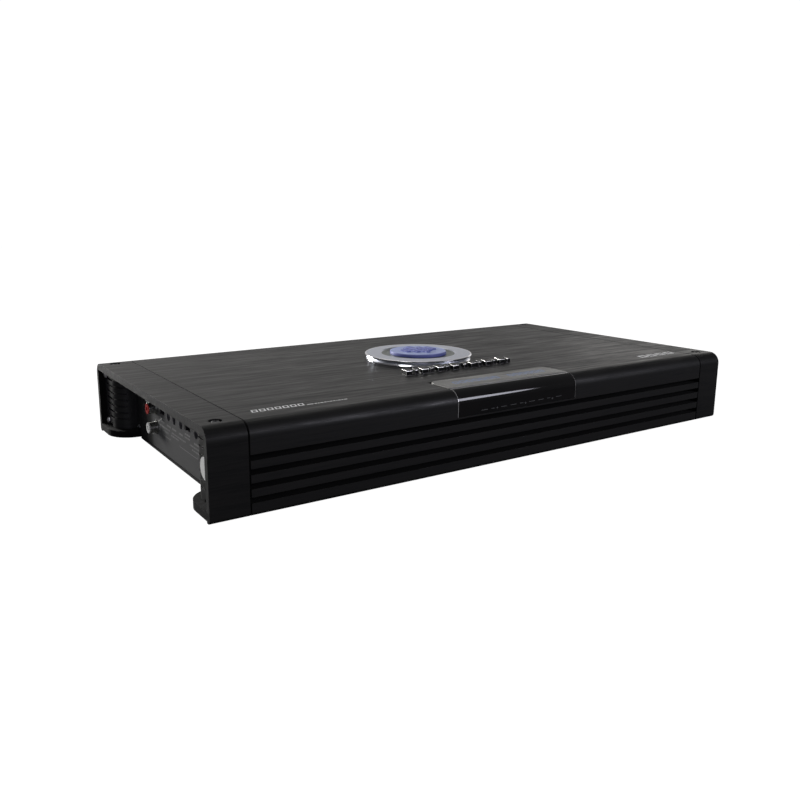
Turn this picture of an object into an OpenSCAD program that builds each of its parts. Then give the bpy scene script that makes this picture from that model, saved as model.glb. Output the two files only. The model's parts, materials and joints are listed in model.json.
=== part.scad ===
// Car amplifier: a finned aluminium extrusion between two overhanging end caps.
// Millimetres. X runs along the length with the control panel at -X, Y across the width,
// Z up. The origin is under the middle of the body, on the surface that it stands on.

/* [Body] */
// Length over both end caps
body_length = 471; // [440:1:520]
// Width over the two finned sides
body_width = 246; // [236:1:280]
// Height from the feet to the flat top
body_height = 57; // [56:0.5:60]
// Radius of the two long top edges
edge_radius = 9; // [6:0.5:9]

/* [Side grooves] */
// Grooves cut along each long side
groove_count = 4; // [2:1:4]
// Height of the lowest groove's floor-side edge
groove_start = 8; // [7:0.5:8.5]
// Distance from one groove to the next
groove_pitch = 8.65; // [8:0.05:9]
// Height of each groove
groove_height = 3.6; // [3:0.1:4]
// Depth of each groove
groove_depth = 12; // [6:0.5:12]

/* [End caps] */
// Length of each end cap
cap_length = 25.5; // [24:0.5:32]
// Thickness of an end cap's side walls
cap_wall = 4.4; // [3:0.1:4.5]
// Thickness of an end cap's roof
cap_roof = 5.4; // [5:0.1:6]
// How far the panels stand back from the open ends
panel_recess = 20.7; // [19:0.1:21]
// Thickness of the two end panels
panel_thickness = 2; // [1:0.1:2]
// Seam between each end cap and the extrusion
seam = 0.7; // [0.1:0.1:0.8]

/* [Feet and corner blocks] */
// Thickness of the mounting feet
foot_thickness = 6.5; // [5:0.1:6.5]
// How far each foot reaches in from the side of the body
foot_reach = 43.5; // [40:0.5:44]
// Radius of each foot's free corner
foot_corner = 20; // [12:1:20]
// Inset of the corner holes from the ends
hole_inset_x = 11.5; // [11:0.1:12.5]
// Inset of the corner holes from the sides
hole_inset_y = 15; // [15:0.5:18]
// Radius of the mounting holes in the feet
mount_hole_r = 2.5; // [2:0.1:2.75]
// How far each corner block reaches in from the side of the body
block_reach = 36.5; // [34:0.5:37]
// Distance between the ribs' grooves on the corner blocks
rib_pitch = 5.1; // [5:0.1:5.5]

/* [Emblem and trim] */
// Radius of the round emblem
emblem_r = 45; // [35:1:48]
// Radius of the blue centre disc
emblem_disc_r = 23.7; // [16:0.1:24]
// Width of the badge on the front edge
badge_width = 113.6; // [90:0.2:130]
// How far the badge's middle lies towards the power end
badge_shift = 0.8; // [-5:0.1:5]
// Thickness of the badge's front wrap
badge_thickness = 1; // [0.6:0.1:1.2]
// Pieces in the raised trim row
trim_count = 14; // [8:2:14]

/* [Controls] */
// Radius of the holes over the level and crossover controls
control_hole_r = 3.3; // [3.2:0.1:3.6]
// Travel of each slide switch to either side of its middle
switch_travel = 2.5; // [2:0.1:2.5]
// Centre distance of the two stacked input jacks
jack_pitch = 14.8; // [14:0.1:15]

/* [Terminals] */
// Pitch of the power terminals
power_pitch = 17; // [16:0.5:18]
// Pitch of the speaker terminals
speaker_pitch = 12; // [12:0.5:13]
// How far a terminal clamp backs off
clamp_travel = 3; // [2:0.1:3]

/* [Hidden] */
$fn = 48;

half_l = body_length / 2;
half_w = body_width / 2;
sink_half_l = half_l - cap_length - seam;
side_thickness = groove_depth + 3;
sink_roof = 5;
cover_thickness = 2;
cover_ledge = 5;
cover_fit = 0.2;
flange_x = panel_recess + panel_thickness;
roof_z = body_height - cap_roof;
foot_gap = 1.2;
low_radius = 2.5;
block_setback = 5;
block_bottom = 9.2;
block_corner = 12;
block_ribs_end = 14;
block_clearance = 0.3;
rib_groove = 1.4;
rib_depth = 1.6;
first_rib_z = 14.4;
screw_inset_y = 10;
cap_screw_l = cap_length + seam - block_setback + 9;
low_screw_z = groove_start + groove_height / 2;
high_screw_z = 48;
panel_half_w = half_w - block_reach - block_clearance;
panel_low_z = 2.6;
panel_high_z = roof_z - 0.2;
tongue_half_w = half_w - foot_reach - 0.5;
badge_x0 = badge_shift - badge_width / 2;
badge_x1 = badge_shift + badge_width / 2;
badge_corner = 7;
cut = 0.01;

// Control panel layout: distances across the width from the middle, and heights
jack_y = 37;
jack_low_z = 19;
jack_shell_r = 4.15;
jack_insert_r = 3.75;
jack_reach = 5.7;
control_y = [7.2, -4.9, -19, -48.6];
control_z = 33.2;
control_face = flange_x + 0.5;
switch_y = [22, -31.7];
switch_z = 34.4;
lever_width = 3.2;
switch_slot = lever_width + 2 * switch_travel + 2.8;
remote_y = -67;
remote_z = 18.2;
left_led_y = 53;
led_z = 33;

// Power panel layout
power_y = 42;
speaker_y = -43;
strip_z = 24;
strip_base = 5.5;
contact_face = panel_recess - strip_base - 1.2;
screw_head_x = contact_face - 1.8;
screw_head_h = 2.2;
strip_front = screw_head_x - screw_head_h - clamp_travel - 1.5;
power_screw_r = 1.9;
speaker_screw_r = 1.45;
tail_wall = 0.7;
fuse_y = 0;
fuse_pitch = 12;
fuse_z = 24;
right_led_y = [13, 17.5];

board_z = 10;
board_thickness = 1.6;
preamp_z = 25;
board_half_l = 206;
board_half_w = 103;

black_finish = [0.13, 0.13, 0.13];
brushed_finish = [0.30, 0.29, 0.28];
plastic_black = [0.06, 0.06, 0.065];
steel_finish = [0.55, 0.56, 0.58];

// Draws its children on both long sides
module both_sides() {
    children();
    mirror([0, 1, 0]) children();
}

// Draws its children at both ends
module both_ends() {
    children();
    mirror([1, 0, 0]) children();
}

// Carries children drawn with x = distance inwards from the -X end, to that end
module at_left_end() {
    translate([-half_l, 0, 0]) children();
}

// The same for the +X end
module at_right_end() {
    mirror([1, 0, 0]) at_left_end() children();
}

// Extrudes a section drawn in (Y, Z) along X from x0 to x1
module along_x(x0, x1) {
    translate([x0, 0, 0]) rotate([90, 0, 90]) linear_extrude(x1 - x0) children();
}

// A round bar along X from x0 to x1
module bar_x(x0, x1, r) {
    translate([x0, 0, 0]) rotate([0, 90, 0]) cylinder(h = x1 - x0, r = r);
}

// Outer section of the body, shrunk by inset: rounded shoulders, small rounding at the floor
module body_section(inset = 0) {
    w = half_w - inset;
    r = edge_radius - inset;
    h = body_height - inset;
    union() {
        translate([-w, low_radius]) square([2 * w, h - r - low_radius]);
        translate([low_radius - w, 0]) square([2 * (w - low_radius), h - r]);
        translate([r - w, 0]) square([2 * (w - r), h]);
        translate([w - r, h - r]) circle(r);
        translate([r - w, h - r]) circle(r);
        translate([w - low_radius, low_radius]) circle(low_radius);
        translate([low_radius - w, low_radius]) circle(low_radius);
    }
}

// Section of the long extrusion
module sink_section() {
    inner = half_w - side_thickness;
    difference() {
        body_section();
        translate([-inner, cover_thickness - cut])
            square([2 * inner, body_height - sink_roof - cover_thickness + cut]);
        translate([-inner - cover_ledge - cover_fit, -1])
            square([2 * (inner + cover_ledge + cover_fit), cover_thickness + 1]);
        for (i = [0 : groove_count - 1])
            for (s = [-1, 1])
                translate([s * (half_w - groove_depth / 2 + 1) - groove_depth / 2 - 1,
                           groove_start + i * groove_pitch])
                    square([groove_depth + 2, groove_height]);
    }
    // Cooling ribs under the roof
    for (y = [-90 : 20 : 90])
        translate([y - 1, body_height - sink_roof - 2.5]) square([2, 3]);
}

module heatsink() {
    color(brushed_finish) difference() {
        along_x(-sink_half_l, sink_half_l) sink_section();
        // Tapped holes for the upper end cap screws
        both_ends() both_sides()
            translate([0, half_w - screw_inset_y, high_screw_z])
                bar_x(sink_half_l - 16, sink_half_l + 1, 1.5);
        // Tapped holes for the bottom cover screws
        both_sides() for (x = [-200 : 100 : 200])
            translate([x, half_w - side_thickness + 2.5, cover_thickness - 1])
                cylinder(h = 6, r = 1.25);
        // Pocket that the badge's front wrap lies in
        badge_space(badge_thickness);
    }
}

// The strip of the front shoulder that the badge wraps
module badge_space(depth) {
    difference() {
        along_x(badge_x0, badge_x1) translate([-half_w - 1, badge_low_z()])
            square([badge_back() + 1, body_height]);
        along_x(-badge_width, badge_width) body_section(depth);
    }
}

// Height of the badge's lower edge: just above the top groove
function badge_low_z() = groove_start + (groove_count - 1) * groove_pitch + groove_height + 1.1;

// Distance from the front side back to the badge's rear edge
function badge_back() = 35;

// Plan of one mounting foot in the cap's own frame: x inwards from the end, y from the middle
module foot_plan() {
    inner = half_w - foot_reach;
    difference() {
        translate([0, inner]) square([cap_length, foot_reach - cap_wall + cut]);
        difference() {
            translate([-1, inner - 1]) square([foot_corner + 1, foot_corner + 1]);
            translate([foot_corner, inner + foot_corner]) circle(foot_corner);
        }
    }
}

// One end cap, drawn with x = distance inwards from its open end
module end_cap() {
    window_half_w = panel_half_w - 8;
    difference() {
        union() {
            // Shell open at the bottom and at the end
            along_x(0, cap_length) difference() {
                body_section();
                translate([cap_wall - half_w, -1])
                    square([2 * (half_w - cap_wall), roof_z + 1]);
            }
            // Flange that meets the extrusion
            along_x(flange_x, cap_length) difference() {
                translate([cap_wall - half_w - cut, cover_thickness])
                    square([2 * (half_w - cap_wall + cut), roof_z - cover_thickness + cut]);
                translate([-window_half_w, 7]) square([2 * window_half_w, 38]);
            }
            both_sides() translate([0, 0, foot_gap]) linear_extrude(foot_thickness - foot_gap)
                foot_plan();
        }
        // Room in the feet for the panel's lower corners
        both_sides() translate([panel_recess - 0.1, panel_half_w - 29.9, panel_low_z - 0.1])
            cube([panel_thickness + 0.1, 30, foot_thickness]);
        both_sides() translate([hole_inset_x, half_w - hole_inset_y, 0]) {
            translate([0, 0, -1]) cylinder(h = foot_thickness + 2, r = mount_hole_r);
            translate([0, 0, roof_z - 1]) cylinder(h = cap_roof + 2, r = 2.25);
            translate([0, 0, body_height - 2.6]) cylinder(h = 3, r = 4.2);
        }
        both_sides() for (z = [low_screw_z, high_screw_z])
            translate([0, half_w - screw_inset_y, z]) bar_x(flange_x - 1, cap_length + 1, 1.9);
        // Tapped holes for the panel screws
        both_sides() for (z = panel_screw_heights())
            translate([0, panel_half_w - 4, z]) bar_x(flange_x - 1, cap_length + 1, 1.25);
    }
}

function panel_screw_heights() = [9, 46];

module left_end_cap() {
    color(brushed_finish) at_left_end() end_cap();
}

module right_end_cap() {
    color(brushed_finish) at_right_end() end_cap();
}

// Plan of a corner block: flat front, one rounded corner, straight inner side
module block_plan(inset = 0) {
    inner = half_w - block_reach + inset;
    outer = half_w - cap_wall - 0.1;
    front = block_setback + inset;
    r = block_corner - inset;
    intersection() {
        translate([front, inner]) square([flange_x - front, outer - inner]);
        union() {
            translate([front, inner + r]) square([flange_x - front, outer - inner - r]);
            translate([front + r, inner]) square([flange_x - front - r, outer - inner]);
            translate([front + r, inner + r]) circle(r);
        }
    }
}

// One corner block of the -X, +Y corner, in the cap's frame
module corner_block() {
    rib_zone = half_w - 2 * cap_wall;
    difference() {
        union() {
            translate([0, 0, block_bottom])
                linear_extrude(roof_z - block_bottom) block_plan();
            // Leg that stands on the foot beside the cap's wall
            translate([block_setback, half_w - 12, foot_thickness])
                cube([flange_x - block_setback, 12 - cap_wall - 0.1, block_bottom]);
            // Inner part, which comes down close to the foot beside the foot screw's head
            translate([0, 0, foot_thickness + 0.5])
                linear_extrude(block_bottom - foot_thickness) intersection() {
                    block_plan();
                    translate([0, half_w - block_reach])
                        square([flange_x, block_reach - hole_inset_y - 5]);
                }
        }
        // Grooves that leave the horizontal ribs
        for (z = [first_rib_z : rib_pitch : roof_z - 3])
            translate([0, 0, z]) linear_extrude(rib_groove) difference() {
                translate([0, half_w - block_reach - 1])
                    square([block_ribs_end, rib_zone - half_w + block_reach + 1]);
                block_plan(rib_depth);
            }
        translate([hole_inset_x, half_w - hole_inset_y, block_bottom - 1])
            cylinder(h = body_height, r = 2.1);
        for (z = [low_screw_z, high_screw_z])
            translate([0, half_w - screw_inset_y, z])
                bar_x(block_setback - 1, flange_x + 1, 1.9);
    }
}

module corner_blocks() {
    color([0.11, 0.11, 0.12]) both_ends() both_sides() at_left_end() corner_block();
}

module bottom_cover() {
    half = half_w - side_thickness + cover_ledge;
    color(black_finish) difference() {
        union() {
            translate([-sink_half_l, -half, 0]) cube([2 * sink_half_l, 2 * half, cover_thickness]);
            translate([panel_recess - half_l, -tongue_half_w, 0])
                cube([2 * (half_l - panel_recess), 2 * tongue_half_w, cover_thickness]);
        }
        both_sides() for (x = [-200 : 100 : 200])
            translate([x, half_w - side_thickness + 2.5, -1]) cylinder(h = 5, r = 1.7);
        for (x = standoff_x()) for (y = standoff_y())
            translate([x, y, -1]) cylinder(h = 5, r = 1.5);
    }
}

function standoff_x() = [-190, -65, 65, 190];
function standoff_y() = [-92, 92];

// A blank end panel with its four screw holes, in the cap's frame
module panel_plate() {
    difference() {
        translate([panel_recess, -panel_half_w, panel_low_z])
            cube([panel_thickness, 2 * panel_half_w, panel_high_z - panel_low_z]);
        both_sides() for (z = panel_screw_heights())
            translate([0, panel_half_w - 4, z]) bar_x(panel_recess - 1, flange_x + 1, 1.6);
    }
}

module control_panel() {
    color([0.30, 0.30, 0.31]) at_left_end() difference() {
        panel_plate();
        for (y = control_y)
            translate([0, y, control_z]) bar_x(panel_recess - 1, flange_x + 1, control_hole_r);
        for (y = switch_y)
            translate([panel_recess - 1, y - switch_slot / 2, switch_z - 2.3])
                cube([panel_thickness + 2, switch_slot, 4.6]);
        for (i = [0, 1])
            translate([0, jack_y, jack_low_z + i * jack_pitch])
                bar_x(panel_recess - 1, flange_x + 1, jack_shell_r + 1.1);
        translate([panel_recess - 1, remote_y - 7.2, remote_z - 6.7])
            cube([panel_thickness + 2, 14.4, 13.4]);
        translate([0, left_led_y, led_z]) bar_x(panel_recess - 1, flange_x + 1, 1.55);
    }
}

module power_panel() {
    color([0.30, 0.30, 0.31]) at_right_end() difference() {
        panel_plate();
        for (i = [-1 : 1])
            translate([panel_recess - 1, power_y + i * power_pitch - 3.2, strip_z - 3.2])
                cube([panel_thickness + 2, 6.4, 6.4]);
        for (i = [0 : 3])
            translate([panel_recess - 1, speaker_y + (i - 1.5) * speaker_pitch - 2.4,
                       strip_z - 2.4])
                cube([panel_thickness + 2, 4.8, 4.8]);
        translate([panel_recess - 1, fuse_y - 11.2, fuse_z - 11.2])
            cube([panel_thickness + 2, 22.4, 22.4]);
        for (y = right_led_y)
            translate([0, y, led_z + 10]) bar_x(panel_recess - 1, flange_x + 1, 1.55);
    }
}

// Button-head socket screw, head up, with the underside of its head at z = 0
module button_screw(shank_r, shank_l, head_r, head_h, key) {
    difference() {
        union() {
            translate([0, 0, -shank_l]) cylinder(h = shank_l + cut, r = shank_r);
            rotate_extrude() polygon([
                [0, 0], [head_r, 0], [head_r, head_h * 0.25], [head_r * 0.86, head_h * 0.66],
                [head_r * 0.6, head_h * 0.93], [head_r * 0.42, head_h], [0, head_h]
            ]);
        }
        translate([0, 0, head_h * 0.35]) cylinder(h = head_h, r = key / 2 / cos(30), $fn = 6);
    }
}

// The same screw along X, with its head towards -X and its underside at x = 0
module button_screw_x(shank_r, shank_l, head_r, head_h, key) {
    rotate([0, -90, 0]) button_screw(shank_r, shank_l, head_r, head_h, key);
}

module corner_screws() {
    color(steel_finish) both_ends() both_sides() at_left_end()
        translate([hole_inset_x, half_w - hole_inset_y, body_height - 2.6])
            button_screw(2, 14, 3.8, 2.3, 2.5);
}

module cap_screws() {
    color(steel_finish) both_ends() both_sides() at_left_end() {
        translate([block_setback, half_w - screw_inset_y, high_screw_z])
            button_screw_x(1.5, cap_screw_l, 2.9, 1.8, 2);
        translate([block_setback, half_w - screw_inset_y, low_screw_z])
            button_screw_x(1.75, cap_screw_l, 2.9, 1.8, 2);
    }
}

module cover_screws() {
    color(steel_finish) both_sides() for (x = [-200 : 100 : 200])
        translate([x, half_w - side_thickness + 2.5, 0.4]) {
            cylinder(h = 6, r = 1.25);
            cylinder(h = 1.2, r = 1.65);
        }
}

module panel_screws() {
    color(steel_finish) both_ends() both_sides() at_left_end() for (z = panel_screw_heights())
        translate([panel_recess, panel_half_w - 4, z])
            button_screw_x(1.25, flange_x - panel_recess + 2.5, 2.4, 1.5, 1.5);
}

// Where the badge's top plate gives way to its glossy front
function badge_split() = edge_radius + 1;

module badge_top() {
    depth = badge_back() - badge_split();
    color([0.55, 0.54, 0.53]) intersection() {
        translate([badge_x0, badge_split() - half_w, body_height - badge_thickness])
            cube([badge_width, depth, badge_thickness + 0.5]);
        linear_extrude(body_height + 5) union() {
            translate([badge_x0, badge_split() - half_w])
                square([badge_width, depth - badge_corner]);
            translate([badge_x0 + badge_corner, badge_split() - half_w])
                square([badge_width - 2 * badge_corner, depth]);
            for (x = [badge_x0 + badge_corner, badge_x1 - badge_corner])
                translate([x, badge_back() - half_w - badge_corner]) circle(badge_corner);
        }
    }
}

module badge_front() {
    color([0.03, 0.03, 0.035]) intersection() {
        along_x(badge_x0, badge_x1) difference() {
            body_section();
            body_section(badge_thickness);
        }
        translate([badge_x0, -half_w - 1, badge_low_z()])
            cube([badge_width, badge_split() + 1, body_height]);
    }
}

module emblem_base() {
    h = body_height;
    color([0.75, 0.76, 0.82]) rotate_extrude($fn = 96) polygon([
        [0, h], [emblem_r - 0.6, h], [emblem_r - 2.2, h + 2.2], [emblem_r - 2.2, h + 2.8],
        [emblem_r - 0.4, h + 3.2], [emblem_r, h + 3.6], [emblem_r, h + 4.1],
        [emblem_r - 0.5, h + 4.5], [emblem_r - 13.3, h + 4.7], [emblem_r - 13.7, h + 4.3],
        [emblem_r - 14, h + 4.1], [emblem_r - 16.8, h + 3.9], [emblem_r - 17.2, h + 3.6],
        [0, h + 3.6]
    ]);
}

module emblem_disc() {
    h = body_height + 3.6;
    r = emblem_disc_r;
    color([0.42, 0.47, 0.80]) rotate_extrude($fn = 96) polygon([
        [0, h], [r - 0.3, h], [r, h + 0.3], [r, h + 2.1], [r - 0.7, h + 2.8], [0, h + 2.8]
    ]);
}

// Five bars of an equaliser, standing on the disc
module emblem_bars() {
    heights = [10, 20, 30, 18, 12];
    color([0.70, 0.74, 0.92]) for (i = [0 : 4])
        translate([(i - 2) * 6.4 - 1.9, -heights[i] / 2, body_height + 6.4])
            cube([3.8, heights[i], 1]);
}

// Slanted pieces in two groups on the roof in front of the emblem, by turns wide and narrow
module trim_blocks() {
    pitch = 104 / trim_count;
    slant = 1.5;
    color([0.35, 0.35, 0.37]) for (i = [0 : trim_count - 1]) {
        w = pitch * (i % 2 == 0 ? 0.40 : 0.24);
        d = i % 2 == 0 ? 5.2 : 4;
        side = i < trim_count / 2 ? -1 : 1;
        translate([(i - (trim_count - 1) / 2) * pitch + side * 1.6, 68.5 - half_w, body_height])
            linear_extrude(3.4) polygon([
                [-w - slant, -d], [w - slant, -d], [w + slant, d], [-w + slant, d]
            ]);
    }
}

// Blank round label on the front of the block at the -X, -Y corner
module inspection_sticker() {
    color([0.92, 0.92, 0.90]) at_left_end()
        translate([block_setback - 0.2, 17.8 - half_w, 28.3])
            rotate([0, 90, 0]) cylinder(h = 0.2, r = 7.1);
}

module circuit_board() {
    color([0.08, 0.30, 0.14]) difference() {
        translate([-board_half_l, -board_half_w, board_z])
            cube([2 * board_half_l, 2 * board_half_w, board_thickness]);
        for (x = standoff_x()) for (y = standoff_y())
            translate([x, y, board_z - 1]) cylinder(h = 5, r = 1.6);
    }
}

// Pillars between the bottom cover and the board, with their screws
module board_standoffs() {
    color([0.72, 0.60, 0.32]) for (x = standoff_x()) for (y = standoff_y()) translate([x, y, 0]) {
        translate([0, 0, cover_thickness]) cylinder(h = board_z - cover_thickness, r = 3, $fn = 6);
        translate([0, 0, 0.3]) cylinder(h = board_z + board_thickness + 0.5, r = 1.4);
        translate([0, 0, board_z + board_thickness]) cylinder(h = 2, r = 2.8);
    }
}

module preamp_board() {
    color([0.08, 0.30, 0.14]) {
        translate([26 - half_l, -62, preamp_z]) cube([40, 91, board_thickness]);
        for (y = [-56, 0, 24]) translate([60 - half_l, y - 1.5, board_z + board_thickness])
            cube([3, 3, preamp_z - board_z - board_thickness]);
    }
}

module rca_block() {
    z0 = board_z + board_thickness;
    color(plastic_black) at_left_end() translate([flange_x + 0.3, jack_y - 6, z0])
        cube([14, 12, jack_low_z + jack_pitch + 6 - z0]);
}

// Two ring shells of the stacked input jacks
module rca_shells() {
    color([0.78, 0.77, 0.72]) at_left_end() for (i = [0, 1])
        translate([0, jack_y, jack_low_z + i * jack_pitch]) {
            difference() {
                bar_x(panel_recess - jack_reach, flange_x + 0.3, jack_shell_r);
                bar_x(panel_recess - jack_reach - 1, flange_x + 1, jack_insert_r);
            }
            // Collar that fills the panel hole
            difference() {
                bar_x(panel_recess - 0.8, flange_x + 0.3, jack_shell_r + 1);
                bar_x(panel_recess - 2, flange_x + 1, jack_shell_r - 0.2);
            }
        }
}

// Coloured insulator inside a jack shell, with the hole for the plug's pin
module rca_insert(i) {
    front = panel_recess - jack_reach;
    at_left_end() translate([0, jack_y, jack_low_z + i * jack_pitch]) difference() {
        union() {
            bar_x(front - 0.5, flange_x + 0.3, jack_insert_r);
            // Lip over the shell's front edge
            bar_x(front - 0.75, front - 0.05, jack_shell_r - 0.2);
        }
        bar_x(front - 1, flange_x - 1, 1.65);
    }
}

module rca_insert_red() {
    color([0.75, 0.07, 0.07]) rca_insert(1);
}

module rca_insert_white() {
    color([0.93, 0.93, 0.91]) rca_insert(0);
}

// Rotary control housings on the preamp board
module control_bodies() {
    color(plastic_black) at_left_end() for (y = control_y)
        translate([control_face + 2.2, y - 4.75, preamp_z + board_thickness])
            difference() {
                cube([6.5, 9.5, 11]);
                translate([-1, 4.75, control_z - preamp_z - board_thickness])
                    bar_x(0, 4.5, 2.55);
            }
}

// Slotted and knurled control shaft number i
module control_shaft(i) {
    color(plastic_black) at_left_end() translate([0, control_y[i], control_z]) difference() {
        union() {
            bar_x(control_face, control_face + 1.9, control_hole_r - 0.3);
            bar_x(control_face + 1.8, control_face + 5, 2.5);
        }
        // Screwdriver slot, deeper on the side that points to the setting
        translate([control_face - 1, -0.5, -control_hole_r]) cube([1.6, 1, 2 * control_hole_r]);
        translate([control_face - 1, -0.5, 0]) cube([2.2, 1, control_hole_r]);
        for (a = [15 : 30 : 345]) rotate([a, 0, 0])
            translate([control_face - 1, -0.2, control_hole_r - 0.55]) cube([2, 0.4, 1]);
    }
}

module switch_bodies() {
    color(steel_finish) at_left_end() for (y = switch_y)
        translate([flange_x + 1.2, y - 7, preamp_z + board_thickness])
            cube([5, 14, switch_z + 3.5 - preamp_z - board_thickness]);
}

// Slide switch lever number i, in the middle of its travel
module switch_lever(i) {
    color([0.10, 0.10, 0.11]) at_left_end() translate([0, switch_y[i], switch_z]) {
        translate([panel_recess - 1.6, -lever_width / 2, -1.7])
            cube([flange_x - panel_recess + 1.9, lever_width, 3.4]);
        translate([flange_x + 0.3, -2.8, -2.5]) cube([0.7, 5.6, 5]);
    }
}

// Six-way modular jack for the wired level control
module remote_jack() {
    color(plastic_black) at_left_end() translate([0, remote_y, remote_z]) difference() {
        translate([panel_recess - 1.2, -7, -6.5]) cube([17, 14, 13]);
        translate([panel_recess - 2.2, -4.9, -3.6]) cube([13, 9.8, 6.8]);
        translate([panel_recess - 2.2, -3, -5]) cube([13, 6, 2]);
    }
}

module status_leds() {
    color([0.35, 0.85, 0.45]) {
        at_left_end() translate([0, left_led_y, led_z]) bar_x(panel_recess - 0.8, flange_x + 4, 1.5);
        for (y = right_led_y) at_right_end() translate([0, y, led_z + 10])
            bar_x(panel_recess - 0.8, flange_x + 4, 1.5);
    }
}

// Toroidal transformer standing on the board
module power_transformer() {
    color([0.72, 0.42, 0.20]) translate([70, 0, board_z + board_thickness + 0.5]) {
        rotate_extrude() translate([22, 11]) {
            square([14, 22], center = true);
            translate([-7, 0]) circle(6);
            translate([7, 0]) circle(6);
        }
    }
    color(plastic_black) translate([70, 0, board_z + board_thickness]) cylinder(h = 25, r = 8);
}

module filter_capacitors() {
    color([0.12, 0.14, 0.30]) for (x = [-30, 0, 130, 160]) for (y = [-40, 0, 40])
        if (x < 100 || y != 0) translate([x, y, board_z + board_thickness])
            cylinder(h = 33, r = 12.5);
}

// Twelve power transistors against each side wall
module power_transistors() {
    inner = half_w - side_thickness;
    color([0.09, 0.09, 0.10]) both_sides() for (i = [0 : 11])
        translate([-165 + 30 * i - 8, inner - 5.2, board_z + board_thickness + 3])
            cube([16, 5, 21]);
}

module transistor_clamps() {
    inner = half_w - side_thickness;
    color(steel_finish) both_sides() {
        translate([-180, inner - 7.2, board_z + board_thickness + 12]) cube([360, 2, 10]);
        for (x = [-150 : 60 : 150]) translate([x, inner - 7.2, board_z + board_thickness + 17])
            rotate([90, 0, 0]) cylinder(h = 2, r = 3);
    }
}

module output_inductors() {
    color([0.70, 0.45, 0.22]) for (x = [-110, -75]) for (y = [-50, -10, 30])
        translate([x, y, board_z + board_thickness + 0.5]) rotate_extrude()
            translate([10, 7]) circle(6);
}

// Barrier strip with count cells, centred on y = 0 and z = 0, in the cap's frame
module barrier_strip(count, pitch, wall, height, bore_r) {
    w = count * pitch + wall;
    difference() {
        translate([strip_front, -w / 2, -height / 2])
            cube([panel_recess - strip_front, w, height]);
        for (i = [0 : count - 1])
            translate([strip_front - 1, -w / 2 + wall + i * pitch, -height / 2 - 1])
                cube([panel_recess - strip_front - strip_base + 1, pitch - wall, height + 2]);
        // Holes for the contacts' tails
        for (i = [0 : count - 1]) translate([0, (i - (count - 1) / 2) * pitch, 0])
            bar_x(panel_recess - strip_base - 1, panel_recess + 1, bore_r);
    }
}

function power_cell_y(i) = power_y + (i - 1) * power_pitch;
function speaker_cell_y(i) = speaker_y + (i - 1.5) * speaker_pitch;

module power_strip() {
    color(plastic_black) at_right_end() translate([0, power_y, strip_z])
        barrier_strip(3, power_pitch, 2.4, 24, power_screw_r + tail_wall + 0.1);
}

module speaker_strip() {
    color(plastic_black) at_right_end() translate([0, speaker_y, strip_z])
        barrier_strip(4, speaker_pitch, 2, 20, speaker_screw_r + tail_wall + 0.1);
}

// Flat contact with a tubular threaded tail and a leg down to the board, for a screw of radius r
module contact(size, r) {
    leg_h = strip_z - board_z - board_thickness;
    difference() {
        union() {
            translate([contact_face, -size / 2, -size / 2]) cube([1.2, size, size]);
            bar_x(contact_face + 1, flange_x + 10, r + tail_wall);
            translate([flange_x + 7, -r, -leg_h]) cube([3, 2 * r, leg_h]);
        }
        bar_x(contact_face - 1, flange_x + 5, r + 0.05);
    }
}

module terminal_contacts() {
    color([0.80, 0.72, 0.50]) at_right_end() {
        for (i = [0 : 2]) translate([0, power_cell_y(i), strip_z])
            contact(13.4, power_screw_r);
        for (i = [0 : 3]) translate([0, speaker_cell_y(i), strip_z])
            contact(9, speaker_screw_r);
    }
}

// Square captive washer in front of a contact
module clamp_plate(size, r) {
    difference() {
        union() {
            translate([contact_face - 1.7, -size / 2, -size / 2]) cube([1.6, size, size]);
            // Turned-up edge
            translate([contact_face - 2.6, -size / 2, size / 2 - 1]) cube([1.5, size, 1]);
        }
        bar_x(contact_face - 4, contact_face + 1, r + 0.08);
    }
}

// Cheese-head screw through the clamp into the contact's tail
module terminal_screw(r, head_r) {
    difference() {
        union() {
            bar_x(screw_head_x - screw_head_h, screw_head_x, head_r);
            bar_x(screw_head_x - cut, flange_x + 1.5, r);
        }
        // Cross slots
        translate([screw_head_x - 3, -0.5, -head_r - 1]) cube([2, 1, 2 * head_r + 2]);
        translate([screw_head_x - 3, -head_r - 1, -0.5]) cube([2, 2 * head_r + 2, 1]);
    }
}

module power_clamp(i) {
    color(steel_finish) at_right_end() translate([0, power_cell_y(i), strip_z])
        clamp_plate(12.6, power_screw_r);
}

module power_screw(i) {
    color(steel_finish) at_right_end() translate([0, power_cell_y(i), strip_z])
        terminal_screw(power_screw_r, 4);
}

module speaker_clamp(i) {
    color(steel_finish) at_right_end() translate([0, speaker_cell_y(i), strip_z])
        clamp_plate(8.2, speaker_screw_r);
}

module speaker_screw(i) {
    color(steel_finish) at_right_end() translate([0, speaker_cell_y(i), strip_z])
        terminal_screw(speaker_screw_r, 2.9);
}

// Holder that two blade fuses plug into, side by side
module fuse_holder() {
    color(plastic_black) at_right_end() translate([0, fuse_y, fuse_z]) difference() {
        union() {
            translate([panel_recess - 6, -11, -11]) cube([14, 22, 22]);
            // Foot on the board
            translate([panel_recess + 7, -9, board_z + board_thickness - fuse_z])
                cube([6, 18, 5]);
        }
        for (s = [-1, 1]) translate([panel_recess - 7, s * fuse_pitch / 2 - 2.9, -10])
            cube([4, 5.8, 20]);
        for (s = [-1, 1]) for (t = [-1, 1])
            translate([panel_recess - 4, s * fuse_pitch / 2 - 0.6, t * 7 - 2.9])
                cube([9.5, 1.2, 5.8]);
    }
}

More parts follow.
